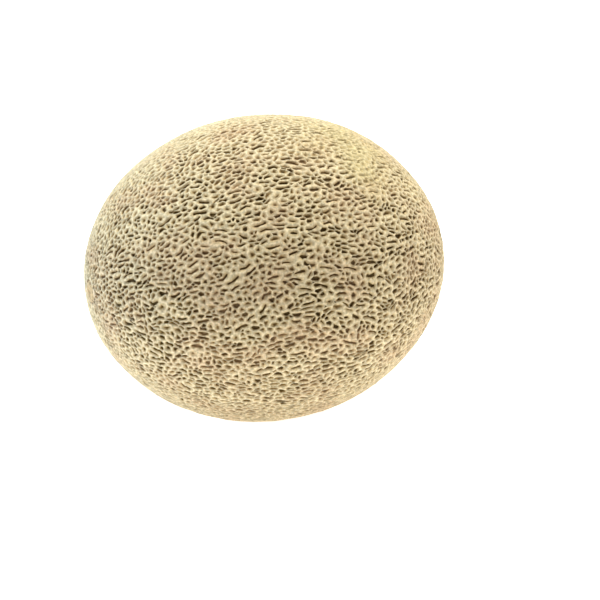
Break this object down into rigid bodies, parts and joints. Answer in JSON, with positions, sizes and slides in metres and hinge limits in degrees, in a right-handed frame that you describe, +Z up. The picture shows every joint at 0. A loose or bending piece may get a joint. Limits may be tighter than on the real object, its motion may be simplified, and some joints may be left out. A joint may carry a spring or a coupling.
{
  "type": "cantaloupe melon",
  "caption": "Whole oblong netted cantaloupe lying on its side, with a raised cork net, a stem scar, a blossom scar and a small flat rest spot.",
  "frame": {"origin": "middle of the small flat spot that the fruit rests on, at the bottom centre of its bounding box", "axes": "+X along the fruit's long axis towards the stem scar, +Z up, +Y to the fruit's far side"},
  "size_m": [0.1661, 0.1397, 0.139],
  "materials": {
    "rind": "dull dry corky net over smooth olive-tan rind"
  },
  "bodies": {
    "root": {"melon": "rind"}
  },
  "joints": []
}
